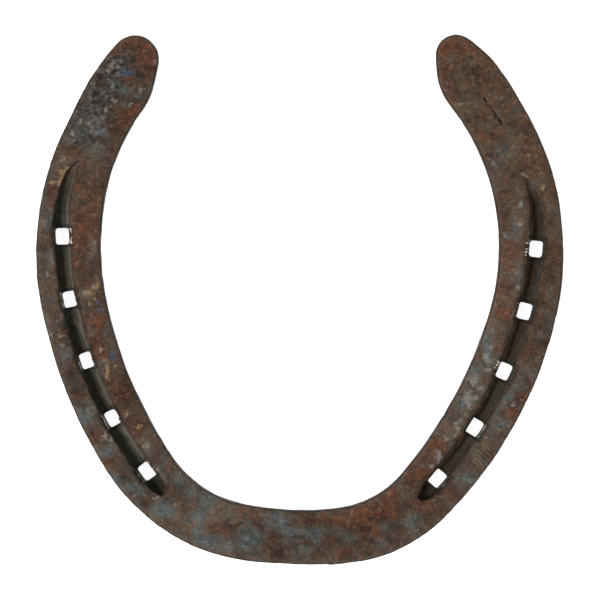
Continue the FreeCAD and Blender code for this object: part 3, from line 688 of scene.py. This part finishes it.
class Graph:
    """Short calls for wiring one material's nodes, and the noises that its masks share."""

    def __init__(self, name):
        self.material = bpy.data.materials.new(name)
        self.material.use_nodes = True
        self.tree = self.material.node_tree
        self.shader = self.tree.nodes["Principled BSDF"]
        self.place = self.node("ShaderNodeTexCoord").outputs["Object"]
        self.broad, self.middle = self.noise(4.2, 4, 0.65), self.noise(1.7, 4, 0.72, 0.31)
        self.small, self.tiny = self.noise(0.75, 3, 0.7, 0.53), self.noise(0.28, 2, 0.6, 0.77)

    def node(self, kind, **settings):
        made = self.tree.nodes.new(kind)
        for key, value in settings.items():
            setattr(made, key, value)
        return made

    def feed(self, socket, value):
        if isinstance(value, bpy.types.NodeSocket):
            self.tree.links.new(value, socket)
        else:
            socket.default_value = value

    def mask(self, name):
        """A mask that was stored on the vertices."""
        return self.node("ShaderNodeAttribute", attribute_name=name).outputs["Fac"]

    def noise(self, size, detail, rough, shift=0.0):
        """Noise from 0 to 1 with features of this many mm, in the shoe's own space."""
        moved = self.node("ShaderNodeVectorMath", operation="ADD")
        self.feed(moved.inputs[0], self.place)
        moved.inputs[1].default_value = (shift, 0.7 * shift, 1.3 * shift)
        made = self.node("ShaderNodeTexNoise")
        self.feed(made.inputs["Vector"], moved.outputs[0])
        made.inputs["Scale"].default_value = 1.0 / (size * MM)
        made.inputs["Detail"].default_value = detail
        made.inputs["Roughness"].default_value = rough
        return made.outputs["Fac"]

    def mosaic(self, size, bend, shift):
        """Two random values for each cell of a bent mosaic, blended where cells meet."""
        wave = self.node("ShaderNodeTexNoise")
        self.feed(wave.inputs["Vector"], self.place)
        wave.inputs["Scale"].default_value = 1.0 / (0.8 * size * MM)
        wave.inputs["Detail"].default_value = 3.0
        bent = self.node("ShaderNodeVectorMath", operation="MULTIPLY_ADD")
        self.feed(bent.inputs[0], wave.outputs["Color"])
        bent.inputs[1].default_value = (2 * bend * size * MM,) * 3
        self.feed(bent.inputs[2], self.place)
        moved = self.node("ShaderNodeVectorMath", operation="ADD")
        self.feed(moved.inputs[0], bent.outputs[0])
        moved.inputs[1].default_value = (shift,) * 3
        tiles = self.node("ShaderNodeTexVoronoi", feature="SMOOTH_F1")
        self.feed(tiles.inputs["Vector"], moved.outputs[0])
        tiles.inputs["Scale"].default_value = 1.0 / (size * MM)
        tiles.inputs["Smoothness"].default_value = 0.35
        split = self.node("ShaderNodeSeparateColor")
        self.feed(split.inputs[0], tiles.outputs["Color"])
        return split.outputs[0], split.outputs[1]

    def math(self, operation, one, two, three=None):
        made = self.node("ShaderNodeMath", operation=operation)
        self.feed(made.inputs[0], one)
        self.feed(made.inputs[1], two)
        if three is not None:
            self.feed(made.inputs[2], three)
        return made.outputs[0]

    def step(self, value, low, high, to_low=0.0, to_high=1.0):
        """An S-curve from to_low below low to to_high above high."""
        made = self.node("ShaderNodeMapRange", interpolation_type="SMOOTHSTEP")
        self.feed(made.inputs["Value"], value)
        made.inputs["From Min"].default_value = low
        made.inputs["From Max"].default_value = high
        made.inputs["To Min"].default_value = to_low
        made.inputs["To Max"].default_value = to_high
        return made.outputs["Result"]

    def total(self, start, *parts):
        """Start plus each value times its weight."""
        for value, weight in parts:
            start = self.math("MULTIPLY_ADD", value, weight, start)
        return start

    def jitter(self, value, one, one_part, two, two_part):
        """The value with two centred noises added, so that masks cut from it get ragged rims."""
        first = self.math("MULTIPLY_ADD", one, one_part, -0.5 * (one_part + two_part))
        second = self.math("MULTIPLY_ADD", two, two_part, first)
        return self.math("ADD", value, second)

    def ramp(self, value, *stops):
        """Colours by value, given as (position, colour)."""
        made = self.node("ShaderNodeValToRGB")
        self.feed(made.inputs[0], value)
        elements = made.color_ramp.elements
        for _ in stops[2:]:
            elements.new(0.5)
        for element, (position, shade) in zip(elements, stops):
            element.position = position
            element.color = shade
        return made.outputs[0]

    def mix(self, part, one, two, blend="MIX"):
        made = self.node("ShaderNodeMix", data_type="RGBA", blend_type=blend)
        self.feed(made.inputs[0], part)
        self.feed(made.inputs[6], one)
        self.feed(made.inputs[7], two)
        return made.outputs[2]

    def mix_value(self, part, one, two):
        made = self.node("ShaderNodeMix", data_type="FLOAT")
        self.feed(made.inputs[0], part)
        self.feed(made.inputs[2], one)
        self.feed(made.inputs[3], two)
        return made.outputs[0]

    def shade(self, base, amount):
        """The colour made darker or lighter by a factor."""
        grey = self.node("ShaderNodeCombineColor")
        for socket in grey.inputs:
            self.feed(socket, amount)
        return self.mix(1.0, base, grey.outputs[0], "MULTIPLY")


def rust_colour(g, hue, flush):
    """From blue-grey mill scale at hue 0 over green-grey, brown and red-brown to orange rust at 1."""
    base = g.ramp(hue, *RUST_COLOURS)
    olive = g.step(g.jitter(g.mask("olive"), g.broad, 1.6, g.middle, 1.0), 0.25, 0.70, 0.0, 0.6)
    base = g.mix(olive, base, g.mix(g.step(g.middle, 0.4, 0.6), DARK_OLIVE, TAWNY))
    # green-grey and red flecks in the brown, then dark red and lilac specks
    brown = g.step(hue, 0.22, 0.40)
    greener = g.math("MULTIPLY", brown, g.step(flush, 0.36, 0.52, 0.4, 0.0))
    base = g.mix(greener, base, GREENISH)
    redder = g.math("MULTIPLY", brown, g.step(flush, 0.56, 0.68, 0.0, 0.5))
    base = g.mix(redder, base, REDDISH)
    speck = g.noise(0.9, 2, 0.6, 0.93)
    base = g.mix(g.step(speck, 0.59, 0.66, 0.0, 0.65), base, DARK_RED)
    lilac = g.math("MULTIPLY", g.step(speck, 0.42, 0.35), g.step(g.middle, 0.40, 0.56))
    return g.mix(g.math("MULTIPLY", lilac, 0.55), base, LILAC)


def mottling(g, grit, flush):
    """A factor for light and dark: broad to tiny mottling, painted shade in the fine hollows and lighter worn
    crests.
    """
    tone = g.total(
        -1.10, (g.broad, 0.75), (g.middle, 1.20), (g.small, 1.05), (g.tiny, 0.45), (grit, 0.44),
        (g.mask("tone"), 0.30), (g.mask("rust"), -0.12), (g.mask("bright"), 0.16), (g.mask("scale"), 0.06),
    )
    relief = g.mask("relief")
    # relief below zero paints shade into the fine hollows; above it lightens the worn crests
    for value, low, high, to_low, to_high in (
        (flush, 0.31, 0.41, 0.60, 1.0), (flush, 0.59, 0.69, 1.0, 1.28),
        (relief, -0.6, 0.0, 0.62, 1.0), (relief, 0.05, 0.7, 1.0, 1.25),
    ):
        tone = g.math("MULTIPLY", tone, g.step(value, low, high, to_low, to_high))
    return tone


def with_heel_lumps(g, base):
    """Each lump of the battered heel has its own grey, with dark gaps between."""
    lump = g.jitter(g.mask("lump"), g.middle, 1.1, g.small, 0.7)
    greys = g.ramp(lump, *HEEL_GREYS)
    gap = g.jitter(g.mask("gap"), g.middle, 1.2, g.small, 0.9)
    greys = g.shade(greys, g.step(gap, -0.1, 0.8, 0.55, 1.0))
    keep = g.step(g.jitter(g.mask("battered"), g.broad, 1.8, g.small, 0.9), 0.25, 0.95, 0.0, 0.7)
    keep = g.math("MULTIPLY", keep, g.step(g.mask("rust"), 0.70, 0.40, 0.2, 1.0))
    return g.mix(keep, base, greys)


def with_spots(g, base):
    """Heat-blue spots, pale flecks that are partly worn and partly painted glints, file marks, dug holes,
    worn edges and painted shade on the side faces.
    """
    deep = g.step(g.jitter(g.mask("deep"), g.small, 1.4, g.tiny, 0.7), 0.25, 0.80, 0.0, 0.75)
    base = g.mix(deep, base, g.mix(g.step(g.small, 0.42, 0.6), NAVY, STEEL_BLUE))
    # pale flecks, partly worn and partly painted glints
    pale = g.step(g.jitter(g.mask("pale"), g.small, 1.4, g.tiny, 0.8), 0.2, 0.8, 0.0, 0.75)
    golden = g.step(g.math("ADD", g.broad, g.mask("gold")), 0.42, 0.58)
    base = g.mix(pale, base, g.mix(golden, GREY_FLECK_AND_GLINT, WORN_GOLD))
    base = g.mix(g.step(g.tiny, 0.56, 0.78, 0.0, 0.25), base, DUST)
    base = g.mix(g.step(g.mask("marks"), 0.1, 0.8, 0.0, 0.3), base, FILED)
    dug = g.step(g.jitter(g.mask("dug"), g.middle, 0.4, g.small, 0.4), 0.25, 0.9, 0.0, 0.6)
    base = g.mix(dug, base, HOLE_BROWN)
    worn = g.step(g.jitter(g.mask("ridge"), g.small, 0.5, g.tiny, 0.2), 0.25, 0.65, 0.0, 0.25)
    base = g.mix(worn, base, RUBBED)
    sides = g.step(g.jitter(g.mask("sides"), g.middle, 0.4, g.small, 0.3), 0.25, 0.9, 0.0, 0.8)
    return g.mix(sides, base, g.mix(g.step(g.middle, 0.42, 0.6), SIDE_SHADE_DARK, SIDE_SHADE_BROWN))


def with_crease(g, base, crease):
    """Painted light on the slopes in pale grey, lightest deep down, and the crease floor darkened partly as
    grime and partly as painted shade: green-black on the left, brown on the right; then painted shade round
    the holes and the darker toe ends.
    """
    # painted light on the slopes
    slope = g.step(g.jitter(g.mask("slope"), g.middle, 0.5, g.small, 0.3), 0.1, 0.9, 0.0, 0.75)
    slope_colour = g.mix(g.step(g.middle, 0.35, 0.65), SLOPE_DARK, SLOPE_LIGHT)
    slope_colour = g.mix(g.step(g.mask("depth"), 0.2, 0.9), slope_colour, SLOPE_DEEP_PAINTED_LIGHT)
    base = g.mix(slope, base, slope_colour)
    right = g.mask("right")
    darker = g.mix(right, *FLOOR_DARK)
    lighter = g.mix(right, *FLOOR_LIGHT)
    base = g.mix(crease, base, g.mix(g.step(g.middle, 0.38, 0.62), darker, lighter))
    # painted shade round the holes, and the darker toe ends
    grime = g.step(g.jitter(g.mask("grime"), g.small, 0.6, g.tiny, 0.3), 0.3, 0.8, 0.0, 0.6)
    return g.mix(grime, base, HOLE_SHADE_TOE_DARK)


def rusted_iron():
    g = Graph("rusted_iron")
    grit, tint = g.mosaic(2.0, 0.9, 0.11)
    flush = g.noise(0.8, 2, 0.6, 0.41)
    hue = g.total(
        -0.25, (g.broad, 0.50), (g.middle, 0.52), (g.small, 0.34), (tint, 0.14),
        (g.mask("warm"), 0.20), (g.mask("rust"), 0.28), (g.mask("bright"), 0.30),
        (g.mask("scale"), -0.43), (g.mask("battered"), -0.10),
    )
    # the crease floor: partly grime, partly painted shade
    crease = g.step(g.jitter(g.mask("crease"), g.middle, 0.5, g.small, 0.3), 0.1, 0.9, 0.0, 0.8)
    burr = g.step(g.jitter(g.mask("burr"), g.small, 0.3, g.tiny, 0.2), 0.3, 0.6)
    base = with_heel_lumps(g, rust_colour(g, hue, flush))
    base = with_spots(g, g.shade(base, mottling(g, grit, flush)))
    base = with_crease(g, base, crease)
    g.feed(g.shader.inputs["Base Color"], g.mix(burr, base, BARE_METAL))

    # scale is smoother than rust, and the burrs are bare metal
    rough = g.step(hue, 0.1, 0.8, 0.45, 0.85)
    rough = g.math("ADD", rough, g.step(g.small, 0.3, 0.7, -0.08, 0.08))
    rough = g.mix_value(crease, rough, 0.85)
    g.feed(g.shader.inputs["Roughness"], g.mix_value(burr, rough, 0.38))
    g.feed(g.shader.inputs["Metallic"], g.math("MULTIPLY", burr, 0.4))
    g.shader.inputs["Specular IOR Level"].default_value = 0.2

    blue = g.step(hue, 0.35, 0.15)
    height = g.total(0.0, (g.small, 0.6), (g.tiny, 0.3), (blue, 0.25), (g.mask("rust"), 0.2))
    bump = g.node("ShaderNodeBump")
    bump.inputs["Strength"].default_value = 0.7
    bump.inputs["Distance"].default_value = 0.35 * MM
    g.feed(bump.inputs["Height"], height)
    g.feed(g.shader.inputs["Normal"], bump.outputs["Normal"])
    return g.material


shoe.data.materials.clear()
shoe.data.materials.append(rusted_iron())
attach(shoe, "root")
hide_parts(NODE)


# ---------------------------------------------------------------- floor, light and camera, in metres
FLOOR_HALF = 1.5
FLOOR_GAP = 0.02 * MM  # keeps the floor just clear of the shoe's underside
FLOOR_GLOW = 0.9  # makes the floor as white as a studio sweep
CAMERA_HEIGHT = 1.6
CAMERA_LENS, CAMERA_SENSOR = 382.4, 36  # mm
WORLD_STRENGTH = 0.42


def link(name, data, place=(0, 0, 0)):
    made = bpy.data.objects.new(name, data)
    made.location = place
    bpy.context.scene.collection.objects.link(made)
    return made


def pale_floor():
    mesh = bpy.data.meshes.new("floor")
    corners = [(x * FLOOR_HALF, y * FLOOR_HALF, -FLOOR_GAP) for x, y in ((-1, -1), (1, -1), (1, 1), (-1, 1))]
    mesh.from_pydata(corners, [], [(0, 1, 2, 3)])
    floor = link("floor", mesh)
    paint = bpy.data.materials.new("floor")
    paint.use_nodes = True
    shader = paint.node_tree.nodes["Principled BSDF"]
    shader.inputs["Base Color"].default_value = (0.62, 0.62, 0.62, 1)
    shader.inputs["Roughness"].default_value = 0.9
    shader.inputs["Emission Color"].default_value = (1, 1, 1, 1)
    shader.inputs["Emission Strength"].default_value = FLOOR_GLOW
    mesh.materials.append(paint)


def soft_light(name, place, size, watts):
    """A round area light that faces the shoe."""
    light = bpy.data.lights.new(name, "AREA")
    light.shape = "DISK"
    light.size = size
    light.energy = watts
    lamp = link(name, light, place)
    lamp.rotation_euler = (-Vector(place)).to_track_quat("-Z", "Y").to_euler()


def pale_world():
    world = bpy.data.worlds.new("studio")
    world.use_nodes = True
    background = world.node_tree.nodes["Background"]
    background.inputs["Color"].default_value = (1, 1, 1, 1)
    background.inputs["Strength"].default_value = WORLD_STRENGTH
    bpy.context.scene.world = world


def overhead_camera():
    camera = bpy.data.cameras.new("camera")
    camera.lens = CAMERA_LENS
    camera.sensor_width = CAMERA_SENSOR
    camera.clip_end = 10
    bpy.context.scene.camera = link("camera", camera, (0, 0, CAMERA_HEIGHT))


pale_floor()
soft_light("key", (-1.2, -0.63, 2.35), 0.7, 58)
soft_light("fill", (1.4, 1.1, 2.4), 1.8, 10)
pale_world()
overhead_camera()
bpy.context.scene.view_settings.view_transform = "Standard"
